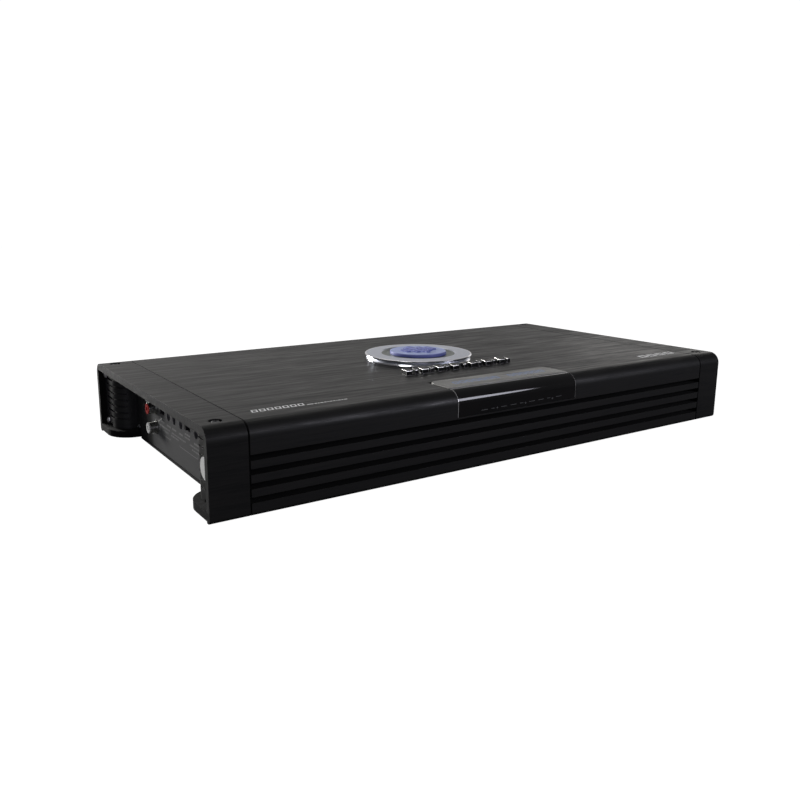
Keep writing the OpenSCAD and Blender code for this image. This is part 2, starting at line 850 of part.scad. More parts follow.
// Blade fuse on side s of the holder: a moulded body on two blades
module blade_fuse(s) {
    at_right_end() translate([panel_recess - 3, fuse_y + s * fuse_pitch / 2, fuse_z]) {
        color([0.20, 0.35, 0.80]) {
            translate([-11.5, -2.4, -9.5]) cube([3.2, 4.8, 19]);
            translate([-8.4, -1.8, -8.2]) cube([8.3, 3.6, 16.4]);
        }
        color(steel_finish) for (t = [-1, 1])
            translate([-0.2, -0.4, t * 7 - 2.6]) cube([7.5, 0.8, 5.2]);
    }
}

heatsink();
left_end_cap();
right_end_cap();
corner_blocks();
bottom_cover();
control_panel();
power_panel();
corner_screws();
cap_screws();
cover_screws();
panel_screws();
badge_top();
badge_front();
emblem_base();
emblem_disc();
emblem_bars();
trim_blocks();
inspection_sticker();
circuit_board();
board_standoffs();
preamp_board();
rca_block();
rca_shells();
rca_insert_red();
rca_insert_white();
control_bodies();
control_shaft(0);  // control_1
control_shaft(1);  // control_2
control_shaft(2);  // control_3
control_shaft(3);  // control_4
switch_bodies();
switch_lever(0);  // switch_lever_1
switch_lever(1);  // switch_lever_2
remote_jack();
status_leds();
power_transformer();
filter_capacitors();
power_transistors();
transistor_clamps();
output_inductors();
power_strip();
speaker_strip();
terminal_contacts();
fuse_holder();
blade_fuse(-1);  // fuse_1
blade_fuse(1);  // fuse_2
power_clamp(0);  // power_clamp_1
power_clamp(1);  // power_clamp_2
power_clamp(2);  // power_clamp_3
power_screw(0);  // power_screw_1
power_screw(1);  // power_screw_2
power_screw(2);  // power_screw_3
speaker_clamp(0);  // speaker_clamp_1
speaker_clamp(1);  // speaker_clamp_2
speaker_clamp(2);  // speaker_clamp_3
speaker_clamp(3);  // speaker_clamp_4
speaker_screw(0);  // speaker_screw_1
speaker_screw(1);  // speaker_screw_2
speaker_screw(2);  // speaker_screw_3
speaker_screw(3);  // speaker_screw_4
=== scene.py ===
"""Looks of the car amplifier: materials, printed marks, fine edges, lights and camera."""

import json
import math

import bmesh
import bpy
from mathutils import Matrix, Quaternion, Vector


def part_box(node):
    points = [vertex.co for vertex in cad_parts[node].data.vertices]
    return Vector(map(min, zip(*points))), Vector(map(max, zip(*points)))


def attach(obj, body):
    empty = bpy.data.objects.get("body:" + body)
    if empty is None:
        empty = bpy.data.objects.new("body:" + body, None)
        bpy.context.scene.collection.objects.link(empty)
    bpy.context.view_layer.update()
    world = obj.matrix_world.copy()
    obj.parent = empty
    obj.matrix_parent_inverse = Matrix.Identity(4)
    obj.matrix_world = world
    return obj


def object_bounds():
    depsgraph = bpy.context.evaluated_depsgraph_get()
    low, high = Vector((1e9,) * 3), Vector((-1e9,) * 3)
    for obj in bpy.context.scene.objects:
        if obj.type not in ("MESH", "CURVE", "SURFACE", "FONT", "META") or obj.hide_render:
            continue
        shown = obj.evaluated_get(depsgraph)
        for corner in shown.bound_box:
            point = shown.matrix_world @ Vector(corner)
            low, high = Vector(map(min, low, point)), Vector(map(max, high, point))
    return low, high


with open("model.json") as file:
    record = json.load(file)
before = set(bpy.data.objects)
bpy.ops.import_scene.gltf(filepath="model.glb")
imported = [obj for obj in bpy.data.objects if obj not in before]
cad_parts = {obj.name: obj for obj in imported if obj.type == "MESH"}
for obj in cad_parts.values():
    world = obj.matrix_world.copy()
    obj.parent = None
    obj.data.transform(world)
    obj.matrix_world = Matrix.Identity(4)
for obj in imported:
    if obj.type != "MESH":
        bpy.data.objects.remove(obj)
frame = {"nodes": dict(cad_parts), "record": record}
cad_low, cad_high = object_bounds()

NODES = frame["nodes"]
SCENE = bpy.context.scene
MM = 0.001

# Where the brushed finish and its painted shade change: how far inside the side faces the grooves are
# painted dark as shade, how far in the bare end faces reach (also lightened as painted light), the
# height of the caps' inner roof, under which the insides are painted dark as shade, the height of the
# feet
GROOVE_SHADE = 0.0012
END_DEPTH = 0.0008
ROOF_UNDERSIDE = 0.0512
FOOT_TOP = 0.0066
# The seam between body and end cap: its middle along X and half the width that is painted dark as shade
SEAM_MIDDLE = (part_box("heatsink")[1].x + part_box("right_end_cap")[0].x) / 2
SEAM_SHADE = (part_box("right_end_cap")[0].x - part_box("heatsink")[1].x) / 2 + 0.00025
# Along Y, where a painted shadow turns the control panel from grey to black beside the jacks
PANEL_SHADOW_FROM, PANEL_SHADOW_FULL = 0.044, 0.050
# How deep the badge wrap's bare ends reach
WRAP_END = 0.0004
# Radii on the emblem: the polished edge lies outside the first, the grey recess inside the second
EMBLEM_EDGE = 0.0436
EMBLEM_RECESS = 0.0308
# Heights on the capacitors: the stripe, and the fade from sleeve to bare top
STRIPE_LOW, STRIPE_HIGH = 0.034, 0.037
SLEEVE_END, CAN_START = 0.0440, 0.0443
# How far behind the end faces the fuses' bodies end and their blades start
FUSE_BLADES = 0.0177


# ---------------------------------------------------------------- material graphs


class Paint:
    """One Principled material and short calls for the nodes that feed it."""

    def __init__(self, name, color, metallic, roughness, specular=0.5, **sockets):
        self.mat = bpy.data.materials.new(name)
        self.mat.use_nodes = True
        self.tree = self.mat.node_tree
        self.tree.nodes.clear()
        self.out = self.node("ShaderNodeOutputMaterial")
        self.shader = self.node("ShaderNodeBsdfPrincipled")
        self.link(self.shader.outputs["BSDF"], self.out.inputs["Surface"])
        self.shader.inputs["Base Color"].default_value = (*color, 1)
        self.shader.inputs["Metallic"].default_value = metallic
        self.shader.inputs["Roughness"].default_value = roughness
        self.shader.inputs["Specular IOR Level"].default_value = specular
        for key, value in sockets.items():
            self.shader.inputs[key.replace("_", " ")].default_value = value
        self.mat.diffuse_color = (*color, 1)
        self.coords = self.node("ShaderNodeTexCoord").outputs["Object"]

    def node(self, kind, **props):
        n = self.tree.nodes.new(kind)
        for key, value in props.items():
            setattr(n, key, value)
        return n

    def link(self, a, b):
        self.tree.links.new(a, b)

    def put(self, socket, value):
        """A number, colour or link into a socket."""
        if isinstance(value, bpy.types.NodeSocket):
            self.link(value, socket)
        elif hasattr(value, "__len__") and len(value) == 3 and len(socket.default_value) == 4:
            socket.default_value = (*value, 1)
        else:
            socket.default_value = value

    def stretch(self, scale, source=None):
        n = self.node("ShaderNodeMapping")
        self.put(n.inputs["Vector"], source or self.coords)
        n.inputs["Scale"].default_value = scale
        return n.outputs["Vector"]

    def noise(self, vector, scale=1.0, detail=3.0, rough=0.55, distortion=0.0):
        n = self.node("ShaderNodeTexNoise")
        self.put(n.inputs["Vector"], vector)
        n.inputs["Scale"].default_value = scale
        n.inputs["Detail"].default_value = detail
        n.inputs["Roughness"].default_value = rough
        n.inputs["Distortion"].default_value = distortion
        return n.outputs["Fac"]

    def cells(self, vector, scale):
        n = self.node("ShaderNodeTexVoronoi")
        self.put(n.inputs["Vector"], vector)
        n.inputs["Scale"].default_value = scale
        return n.outputs["Distance"]

    def ramp(self, fac, *stops):
        """Stops are (position, r, g, b)."""
        n = self.node("ShaderNodeValToRGB")
        self.put(n.inputs["Fac"], fac)
        line = n.color_ramp
        while len(line.elements) < len(stops):
            line.elements.new(0.5)
        for e, s in zip(line.elements, stops):
            e.position = s[0]
            e.color = (*s[1:], 1)
        return n.outputs["Color"]

    def span(self, value, low, high, new_low=0.0, new_high=1.0):
        n = self.node("ShaderNodeMapRange")
        self.put(n.inputs["Value"], value)
        for key, v in zip(("From Min", "From Max", "To Min", "To Max"), (low, high, new_low, new_high)):
            n.inputs[key].default_value = v
        return n.outputs["Result"]

    def math(self, operation, a, b=0.0, clamp=False):
        n = self.node("ShaderNodeMath", operation=operation, use_clamp=clamp)
        self.put(n.inputs[0], a)
        self.put(n.inputs[1], b)
        return n.outputs["Value"]

    def mix(self, fac, a, b):
        n = self.node("ShaderNodeMix", data_type="RGBA")
        self.put(n.inputs[0], fac)
        self.put(n.inputs[6], a)
        self.put(n.inputs[7], b)
        return n.outputs[2]

    def axes(self, source=None):
        n = self.node("ShaderNodeSeparateXYZ")
        self.put(n.inputs[0], source or self.coords)
        return n.outputs

    def upward(self):
        """How far the surface faces up, 1 on a level face."""
        return self.axes(self.node("ShaderNodeNewGeometry").outputs["Normal"])[2]

    def color(self, value):
        self.put(self.shader.inputs["Base Color"], value)

    def rough(self, value):
        self.put(self.shader.inputs["Roughness"], value)

    def bump(self, height, strength, distance):
        """Relief on top of any that is there. Returns the paint."""
        n = self.node("ShaderNodeBump")
        n.inputs["Strength"].default_value = strength
        n.inputs["Distance"].default_value = distance
        self.link(height, n.inputs["Height"])
        if self.shader.inputs["Normal"].is_linked:
            self.link(self.shader.inputs["Normal"].links[0].from_socket, n.inputs["Normal"])
        self.link(n.outputs["Normal"], self.shader.inputs["Normal"])
        return self


def brushed(name, along, dark, light, roughness, metallic, bump=0.5, cut_and_lit=None,
            specular=0.5, cap_specular=0.5):
    """Brushed aluminium, with streaks of lighter and darker grain along one axis.

    With cut set, the ends show bare metal of that colour, lightened also as painted light, and grooves,
    the caps' insides and seams are painted dark as shade.
    """
    p = Paint(name, light, metallic, roughness, specular)
    # Fine, medium and coarse grain: scale across the brushing, scale along it, weight
    layers = []
    for across, run, weight in ((1100, 45, 0.22), (330, 24, 0.50), (90, 6, 0.28)):
        scale = [across] * 3
        scale[along] = run
        layers.append(p.math("MULTIPLY", p.noise(p.stretch(scale), 1, 4, 0.65), weight))
    fine = p.math("ADD", layers[0], layers[1])
    grain = p.math("ADD", fine, layers[2])
    cloud = p.noise(p.coords, 9, 3, 0.5)
    tone = p.ramp(grain, (0.41, *dark), (0.59, *light))
    tone = p.mix(p.span(cloud, 0.3, 0.7, 0.0, 0.3), tone, dark)
    sheen = p.span(grain, 0.36, 0.64, roughness + 0.15, roughness - 0.13)
    if cut_and_lit:
        x, y, z = p.axes()
        saw = p.noise(p.stretch((200, 90, 1400)), 1, 3, 0.6)
        normal = p.axes(p.node("ShaderNodeNewGeometry").outputs["Normal"])[along]
        # Bare end faces, lighter: partly their own bare metal, partly painted light on the faces turned
        # to the side lamps
        end = p.math("MULTIPLY", p.span(p.math("ABSOLUTE", normal), 0.80, 0.97),
                     p.math("GREATER_THAN", p.math("ABSOLUTE", x), cad_high.x - END_DEPTH))
        sawn_and_lit = p.mix(saw, [c * 0.7 for c in cut_and_lit], [c * 1.3 for c in cut_and_lit])
        # The end faces below the feet's top are drawn darker
        sawn_and_lit = p.mix(p.math("LESS_THAN", z, FOOT_TOP), sawn_and_lit, [c * 0.4 for c in cut_and_lit])
        tone = p.mix(end, tone, sawn_and_lit)
        # Painted shade: the grooves, the caps' insides under their roof and the seam are painted dark
        # where shade falls
        shade_mask = p.math("LESS_THAN", p.math("ABSOLUTE", y), cad_high.y - GROOVE_SHADE)
        shade_mask = p.math("MULTIPLY", shade_mask, p.math("LESS_THAN", z, ROOF_UNDERSIDE))
        shade_mask = p.math("MULTIPLY", shade_mask, p.math("SUBTRACT", 1.0, end))
        from_seam = p.math("SUBTRACT", p.math("ABSOLUTE", x), SEAM_MIDDLE)
        seam = p.math("LESS_THAN", p.math("ABSOLUTE", from_seam), SEAM_SHADE)
        shade_mask = p.math("MAXIMUM", shade_mask, seam)
        on_cap = p.math("GREATER_THAN", p.math("ABSOLUTE", x), SEAM_MIDDLE)
        p.put(p.shader.inputs["Specular IOR Level"],
              p.span(on_cap, 0.0, 1.0, specular, cap_specular))
        # Painted shade: those places take a quarter of the dark grain colour
        tone = p.mix(shade_mask, tone, [c * 0.25 for c in dark])
        sheen = p.math("ADD", sheen, p.math("MULTIPLY", shade_mask, 0.5), clamp=True)
    p.color(tone)
    p.rough(sheen)
    return p.bump(fine, bump, 0.00008)


def powder_coat(name, color, roughness, grain=2600, bump=0.25):
    """Powder coating with a pebbled surface."""
    p = Paint(name, color, 0.0, roughness, 0.35)
    pebble = p.noise(p.coords, grain, 2, 0.6)
    cloud = p.noise(p.coords, 14, 3, 0.5)
    dark = [c * 0.72 for c in color]
    light = [c * 1.25 for c in color]
    p.color(p.mix(cloud, dark, light))
    p.rough(p.span(pebble, 0.3, 0.7, roughness - 0.06, roughness + 0.08))
    return p.bump(pebble, bump, 0.0001)


def moulded(name, color, roughness, specular=0.4, bump=0.15):
    """Moulded plastic with a fine eroded texture and faint flow marks."""
    p = Paint(name, color, 0.0, roughness, specular)
    texture = p.noise(p.coords, 3800, 2, 0.5)
    flow = p.noise(p.stretch((60, 60, 25)), 1, 4, 0.6, 0.4)
    dark = [c * 0.8 for c in color]
    light = [min(1, c * 1.18) for c in color]
    p.color(p.mix(flow, dark, light))
    p.rough(p.span(flow, 0.3, 0.7, roughness - 0.05, roughness + 0.07))
    return p.bump(texture, bump, 0.00005)


def plated(name, color, roughness, tarnish, spin=None):
    """Plated metal, with turning marks round the X axis if spin is set."""
    p = Paint(name, color, 1.0, roughness, 0.5)
    blotch = p.noise(p.coords, 420, 4, 0.6)
    p.color(p.mix(p.span(blotch, 0.45, 0.75, 0, 0.6), color, tarnish))
    p.rough(p.span(blotch, 0.3, 0.7, roughness - 0.06, roughness + 0.12))
    if spin:
        p.bump(p.noise(p.stretch((9000, 500, 500)), 1, 2, 0.5), 0.2, 0.00004)
    return p


def printed(name, color):
    """Screen-printed ink: slightly uneven cover."""
    p = Paint(name, color, 0.0, 0.55, 0.3)
    patch = p.noise(p.coords, 1500, 3, 0.6)
    p.color(p.mix(p.span(patch, 0.3, 0.75, 0.0, 0.35), color, [c * 0.7 for c in color]))
    p.rough(p.span(patch, 0.3, 0.7, 0.5, 0.65))
    return p.bump(patch, 0.1, 0.00002)


def grey_panel():
    """The control panel: grey, with a painted shadow in black beside the jacks."""
    p = powder_coat("grey_panel", (0.12, 0.12, 0.123), 0.45, 1900, 0.15)
    grey = p.shader.inputs["Base Color"].links[0].from_socket
    x, y, _ = p.axes()
    # Painted shadow: beyond the jacks the panel is painted near black, where shade falls
    bare = p.math("MULTIPLY", p.span(y, PANEL_SHADOW_FROM, PANEL_SHADOW_FULL),
                  p.math("LESS_THAN", x, 0.0))
    p.color(p.mix(bare, grey, (0.012, 0.012, 0.013)))
    return p


def gloss_black():
    """The badge's front wrap: glossy black with bare ends."""
    p = Paint("gloss_black", (0.006, 0.0055, 0.006), 0.0, 0.08, 0.35, Coat_Weight=0.25,
              Coat_Roughness=0.04)
    swirl = p.noise(p.coords, 60, 3, 0.5)
    p.rough(p.span(swirl, 0.3, 0.7, 0.04, 0.09))
    low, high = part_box("badge_front")
    middle, reach = (low.x + high.x) / 2, (high.x - low.x) / 2
    from_middle = p.math("ABSOLUTE", p.math("SUBTRACT", p.axes()[0], middle))
    end = p.math("GREATER_THAN", from_middle, reach - WRAP_END)
    lacquer = p.mix(swirl, (0.004, 0.004, 0.0045), (0.010, 0.009, 0.009))
    p.color(p.mix(end, lacquer, (0.55, 0.54, 0.52)))
    p.put(p.shader.inputs["Metallic"], p.math("MULTIPLY", end, 0.3))
    return p.bump(swirl, 0.05, 0.0002)


def emblem_chrome():
    """The emblem's base: satin top ring inside a polished edge, round a grey recess; the edge is
    painted darker as shade where it faces sideways.
    """
    p = Paint("emblem_chrome", (0.78, 0.79, 0.85), 1.0, 0.2)
    x, y, _ = p.axes()
    radius = p.math("SQRT", p.math("ADD", p.math("MULTIPLY", x, x), p.math("MULTIPLY", y, y)))
    ring = p.node("ShaderNodeCombineXYZ")
    p.link(radius, ring.inputs[0])
    turning = p.noise(p.stretch((2600, 1, 1), ring.outputs[0]), 1, 4, 0.7)
    edge = p.math("GREATER_THAN", radius, EMBLEM_EDGE)
    recess = p.math("LESS_THAN", radius, EMBLEM_RECESS)
    satin = p.math("SUBTRACT", 1.0, p.math("MAXIMUM", edge, recess))
    face = p.mix(turning, (0.56, 0.59, 0.68), (0.74, 0.76, 0.84))
    grey = p.mix(turning, (0.17, 0.19, 0.18), (0.26, 0.28, 0.27))
    # Painted shade: the polished edge is darker where it faces sideways or down, which also tames its
    # highlight
    chrome = p.mix(p.span(p.upward(), 0.2, 0.6), (0.34, 0.34, 0.36), (0.80, 0.80, 0.84))
    p.color(p.mix(recess, p.mix(satin, chrome, face), grey))
    p.rough(p.math("ADD", p.math("MULTIPLY", satin, 0.22),
                   p.math("ADD", p.math("MULTIPLY", recess, 0.25),
                          p.span(turning, 0.3, 0.7, 0.10, 0.18))))
    return p.bump(turning, 0.12, 0.00005)


def emblem_blue():
    """The emblem's disc: pale blue face, its side painted darker as shade."""
    p = Paint("emblem_blue", (0.35, 0.40, 0.72), 0.0, 0.42, 0.4)
    fleck = p.noise(p.coords, 5200, 2, 0.5)
    glow = p.noise(p.coords, 45, 3, 0.5)
    face = p.mix(p.span(glow, 0.3, 0.7), (0.37, 0.44, 0.75), (0.47, 0.55, 0.90))
    # Painted shade: faces that turn away from up take the dark blue
    p.color(p.mix(p.span(p.upward(), 0.6, 0.95), (0.13, 0.15, 0.42), face))
    p.rough(p.span(fleck, 0.3, 0.7, 0.38, 0.48))
    return p.bump(fleck, 0.08, 0.00003)


def bar_blue():
    """The raised bars on the disc."""
    p = Paint("bar_blue", (0.22, 0.26, 0.60), 0.0, 0.45, 0.4)
    fleck = p.noise(p.stretch((3000, 300, 3000)), 1, 3, 0.6)
    p.color(p.mix(fleck, (0.11, 0.13, 0.42), (0.17, 0.20, 0.52)))
    p.rough(p.span(fleck, 0.3, 0.7, 0.4, 0.5))
    return p.bump(fleck, 0.1, 0.00003)


def black_chrome():
    """The trim pieces, whose edges take bright_edge."""
    p = Paint("black_chrome", (0.012, 0.012, 0.012), 0.0, 0.3, 0.05)
    smear = p.noise(p.coords, 160, 3, 0.6)
    p.color(p.mix(smear, (0.004, 0.004, 0.005), (0.014, 0.013, 0.013)))
    p.rough(p.span(smear, 0.3, 0.7, 0.22, 0.38))
    return p.bump(smear, 0.04, 0.0002)


def board_laminate():
    """Circuit boards: solder mask with tracks and vias."""
    p = Paint("board_laminate", (0.01, 0.10, 0.035), 0.0, 0.35, 0.5, Coat_Weight=0.3,
              Coat_Roughness=0.2)
    tracks = p.node("ShaderNodeTexBrick", offset=0.5, squash=0.7, squash_frequency=3)
    p.put(tracks.inputs["Vector"], p.coords)
    tracks.inputs["Scale"].default_value = 60
    tracks.inputs["Mortar Size"].default_value = 0.03
    vias = p.math("LESS_THAN", p.cells(p.coords, 260), 0.12)
    mask = p.mix(tracks.outputs["Fac"], (0.008, 0.085, 0.03), (0.02, 0.17, 0.06))
    p.color(p.mix(vias, mask, (0.55, 0.5, 0.36)))
    p.rough(p.span(p.noise(p.coords, 900, 2), 0.3, 0.7, 0.28, 0.42))
    return p.bump(tracks.outputs["Fac"], 0.3, 0.00006)


def green_lens():
    """Status lights."""
    p = Paint("green_lens", (0.05, 0.42, 0.10), 0.0, 0.12, 0.6, Transmission_Weight=0.35)
    tint = p.noise(p.coords, 700, 3)
    p.color(p.mix(tint, (0.03, 0.30, 0.07), (0.07, 0.52, 0.14)))
    p.rough(p.span(tint, 0.3, 0.7, 0.08, 0.2))
    return p


def copper_winding():
    """Fine turns of enamelled wire."""
    p = Paint("copper_winding", (0.48, 0.18, 0.06), 0.9, 0.3)
    turns = p.noise(p.stretch((1500, 1500, 60)), 1, 2, 0.4)
    p.color(p.mix(turns, (0.30, 0.09, 0.03), (0.62, 0.27, 0.10)))
    p.rough(p.span(turns, 0.3, 0.7, 0.22, 0.4))
    return p.bump(turns, 0.6, 0.0004)


def capacitor_sleeve():
    """Capacitor sleeve with a stripe round it and a bare aluminium top."""
    p = Paint("capacitor_sleeve", (0.012, 0.016, 0.06), 0.0, 0.28, 0.5)
    z = p.axes()[2]
    can = p.span(z, SLEEVE_END, CAN_START)
    stripe = p.math("MULTIPLY", p.math("GREATER_THAN", z, STRIPE_LOW),
                    p.math("LESS_THAN", z, STRIPE_HIGH))
    film = p.noise(p.stretch((300, 300, 40)), 1, 3)
    body = p.mix(film, (0.009, 0.012, 0.045), (0.02, 0.026, 0.085))
    p.color(p.mix(can, p.mix(stripe, body, (0.45, 0.47, 0.50)), (0.60, 0.60, 0.60)))
    p.put(p.shader.inputs["Metallic"], p.math("MULTIPLY", can, 0.9))
    p.rough(p.span(film, 0.3, 0.7, 0.22, 0.36))
    return p.bump(film, 0.15, 0.0001)


def fuse_blue():
    """Fuses: tinted clear body, tinned blades further in."""
    p = Paint("fuse_body", (0.04, 0.13, 0.62), 0.0, 0.15, 0.5, Transmission_Weight=0.25)
    blade = p.math("LESS_THAN", p.axes()[0], cad_high.x - FUSE_BLADES)
    cloud = p.noise(p.coords, 500, 3)
    tint = p.mix(cloud, (0.03, 0.10, 0.50), (0.06, 0.17, 0.72))
    p.color(p.mix(blade, tint, (0.62, 0.62, 0.6)))
    p.put(p.shader.inputs["Metallic"], blade)
    p.rough(p.span(cloud, 0.3, 0.7, 0.12, 0.26))
    return p


def make_materials():
    """All materials by name."""
    m = {}
    m["black_aluminium"] = brushed(
        "black_aluminium", 0, (0.005, 0.005, 0.005), (0.020, 0.019, 0.0185), 0.45, 0.15,
        cut_and_lit=(0.048, 0.048, 0.048), specular=0.34, cap_specular=0.25)
    m["black_cast"] = powder_coat("black_cast", (0.006, 0.006, 0.0065), 0.48)
    # Painted highlight: a lighter coat for the rounded rib edges of the corner blocks
    m["cast_edge_highlight"] = powder_coat("cast_edge_highlight", (0.03, 0.03, 0.032), 0.6)
    m["black_sheet"] = powder_coat("black_sheet", (0.012, 0.012, 0.013), 0.5)
    m["grey_panel"] = grey_panel()
    m["screw_steel"] = plated("screw_steel", (0.62, 0.62, 0.64), 0.28, (0.30, 0.30, 0.32), True)
    m["screw_black"] = plated("screw_black", (0.10, 0.10, 0.105), 0.34, (0.05, 0.05, 0.053), True)
    m["contact_brass"] = plated("contact_brass", (0.78, 0.66, 0.42), 0.3, (0.45, 0.34, 0.18))
    m["jack_nickel"] = plated("jack_nickel", (0.40, 0.40, 0.38), 0.24, (0.20, 0.20, 0.19), True)
    m["black_plastic"] = moulded("black_plastic", (0.012, 0.012, 0.013), 0.42)
    m["jack_red"] = moulded("jack_red", (0.55, 0.025, 0.02), 0.3, 0.5, 0.05)
    m["jack_white"] = moulded("jack_white", (0.93, 0.93, 0.91), 0.4, 0.5, 0.05)
    m["white_label"] = printed("white_label", (0.93, 0.93, 0.92))
    m["print_white"] = printed("print_white", (0.86, 0.86, 0.86))
    m["print_pale"] = printed("print_pale", (0.34, 0.34, 0.34))
    m["print_grey"] = printed("print_grey", (0.10, 0.10, 0.10))
    m["print_blue"] = printed("print_blue", (0.25, 0.33, 0.55))
    m["satin_badge"] = brushed(
        "satin_badge", 0, (0.15, 0.15, 0.147), (0.25, 0.245, 0.235), 0.34, 0.9, 0.2)
    m["gloss_black"] = gloss_black()
    m["emblem_chrome"] = emblem_chrome()
    m["emblem_blue"] = emblem_blue()
    m["bar_blue"] = bar_blue()
    m["black_chrome"] = black_chrome()
    m["bright_edge"] = plated("bright_edge", (0.66, 0.65, 0.64), 0.17, (0.42, 0.41, 0.40))
    m["board_laminate"] = board_laminate()
    m["green_lens"] = green_lens()
    m["copper_winding"] = copper_winding()
    m["capacitor_sleeve"] = capacitor_sleeve()
    m["fuse_blue"] = fuse_blue()
    return {key: paint.mat for key, paint in m.items()}


M = make_materials()


def dress_nodes():
    """Each CAD node takes the material of its slot."""
    own = {"emblem_bars": "bar_blue"}
    for row in frame["record"]["subparts"]:
        node = NODES[row["node"]]
        key = own.get(row["node"], row["material_slot"])
        node.data.materials.clear()
        node.data.materials.append(M[key])
    NODES["trim_blocks"].data.materials.append(M["bright_edge"])
    # Painted highlight: the corner blocks' rounded edges take the lighter coat
    NODES["corner_blocks"].data.materials.append(M["cast_edge_highlight"])


dress_nodes()


# ---------------------------------------------------------------- edges of the CAD nodes


def shading_group(angle):
    """Geometry nodes that drop imported normals and shade smooth below an edge angle."""
    group = bpy.data.node_groups.new("shade_by_angle", "GeometryNodeTree")
    group.interface.new_socket("Geometry", in_out="INPUT", socket_type="NodeSocketGeometry")
    group.interface.new_socket("Geometry", in_out="OUTPUT", socket_type="NodeSocketGeometry")
    make = group.nodes.new
    source, sink = make("NodeGroupInput"), make("NodeGroupOutput")
    bend = make("GeometryNodeInputMeshEdgeAngle")
    sharp = make("FunctionNodeCompare")
    sharp.data_type = "FLOAT"
    sharp.operation = "GREATER_THAN"
    sharp.inputs["B"].default_value = angle
    normals = make("GeometryNodeSetMeshNormal")
    link = group.links.new
    link(bend.outputs["Unsigned Angle"], sharp.inputs["A"])
    link(source.outputs[0], normals.inputs["Mesh"])
    link(sharp.outputs["Result"], normals.inputs["Edge Sharpness"])
    link(normals.outputs[0], sink.inputs[0])
    return group


EDGE_ANGLE = math.radians(32)
SHADING = shading_group(EDGE_ANGLE)


def soften(node, width, edge_material=-1):
    """Rounds a node's sharp edges by a small radius in mm."""
    o = NODES[node]
    weld = o.modifiers.new("weld", "WELD")
    weld.merge_threshold = 2e-6
    flat = o.modifiers.new("flat", "DECIMATE")
    flat.decimate_type = "DISSOLVE"
    flat.angle_limit = math.radians(0.3)
    round_ = o.modifiers.new("round", "BEVEL")
    round_.width = width * MM
    round_.segments = 2
    round_.limit_method = "ANGLE"
    round_.angle_limit = EDGE_ANGLE
    round_.use_clamp_overlap = True
    round_.material = edge_material
    shade = o.modifiers.new("shade", "NODES")
    shade.node_group = SHADING
    flat_faces = o.modifiers.new("flat_faces", "WEIGHTED_NORMAL")
    flat_faces.keep_sharp = True
    flat_faces.weight = 90


# ---------------------------------------------------------------- printed and fine pieces


# How far print stands out of its face and reaches into it, in mm
INK_LIFT, INK_DEPTH = 0.015, 0.02


def ink(name, shapes, origin, right, up, material, slot, body="root"):
    """Printed marks: flat outlines in mm on a plane, made a hair thick."""
    origin, right, up = Vector(origin), Vector(right), Vector(up)
    out = right.cross(up)
    bm = bmesh.new()
    for outline in shapes:
        under, over = (
            [bm.verts.new((origin + right * u + up * v + out * h) * MM) for u, v in outline]
            for h in (-INK_DEPTH, INK_LIFT))
        bm.faces.new(over)
        bm.faces.new(list(reversed(under)))
        for i in range(len(outline)):
            j = (i + 1) % len(outline)
            bm.faces.new((under[i], under[j], over[j], over[i]))
    bmesh.ops.recalc_face_normals(bm, faces=bm.faces)
    mesh = bpy.data.meshes.new(name)
    bm.to_mesh(mesh)
    bm.free()
    piece = bpy.data.objects.new(name, mesh)
    SCENE.collection.objects.link(piece)
    mesh.materials.append(M[material])
    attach(piece, body)
    return piece


def bar(u, v, w, h, slant=0.0):
    """A parallelogram with its lower left corner at (u, v)."""
    return [(u, v), (u + w, v), (u + w + slant, v + h), (u + slant, v + h)]


def band(outer, inner):
    """The quads between two outlines with as many points each."""
    n = len(outer)
    return [[outer[i], outer[(i + 1) % n], inner[(i + 1) % n], inner[i]] for i in range(n)]


def hollow_bar(u, v, w, h, slant, line):
    """The outline of a parallelogram, drawn with a line of the given width."""
    return band(bar(u, v, w, h, slant),
                bar(u + line * (1 + slant / h), v + line, w - 2 * line, h - 2 * line,
                    slant * (h - 2 * line) / h))


def spoke(u, v, angle, near, far, width):
    """A short stroke that points away from (u, v)."""
    c, s = math.cos(math.radians(angle)), math.sin(math.radians(angle))
    half = width / 2
    return [(u + c * r - s * t, v + s * r + c * t)
            for r, t in ((near, -half), (far, -half), (far, half), (near, half))]


def dashes(u0, u1, v, h, seed, least=0.8, most=2.6, gap=0.7, slant=0.0):
    """A row of dashes whose lengths vary, in place of a line of small print."""
    row, u, k = [], u0, seed
    while u < u1 - least:
        w = least + (most - least) * ((k * 7 + 3) % 11) / 10
        row.append(bar(u, v, min(w, u1 - u), h, slant))
        u += w + gap
        k += 1
    return row


def top_marks():
    """Hollow bars and dashes near the roof's front corners, and blue bars on the badge."""
    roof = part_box("heatsink")[1].z / MM
    plane = ((0, 0, roof), (1, 0, 0), (0, 1, 0))
    shapes = []
    for k in range(7):
        u = -198 + 5.3 * k
        shapes += hollow_bar(u, -102, 4.1, 5.6, 1.2, 1.0)
    shapes.append(bar(-160.4, -102, 4.6, 1.4, 0.3))
    shapes += dashes(-155, -131, -101.8, 1.3, 2, 0.9, 2.4, 0.6, 0.3)
    for k in range(4):
        shapes += hollow_bar(159.5 + 11.2 * k, -102, 9.2, 7.2, 1.4, 1.9)
    ink("roof_marks", shapes, *plane, "print_white", "white_label")

    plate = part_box("badge_top")
    top = ((plate[0].x + plate[1].x) / 2 / MM, (plate[0].y + plate[1].y) / 2 / MM, plate[1].z / MM)
    shapes = []
    for u0, n in ((-44, 7), (8, 6)):
        for k in range(n):
            shapes += hollow_bar(u0 + 6.2 * k, -3.4, 4.6, 6.8, 1.3, 1.1)
    ink("badge_pattern", shapes, top, (1, 0, 0), (0, 1, 0), "print_blue", "emblem_blue")


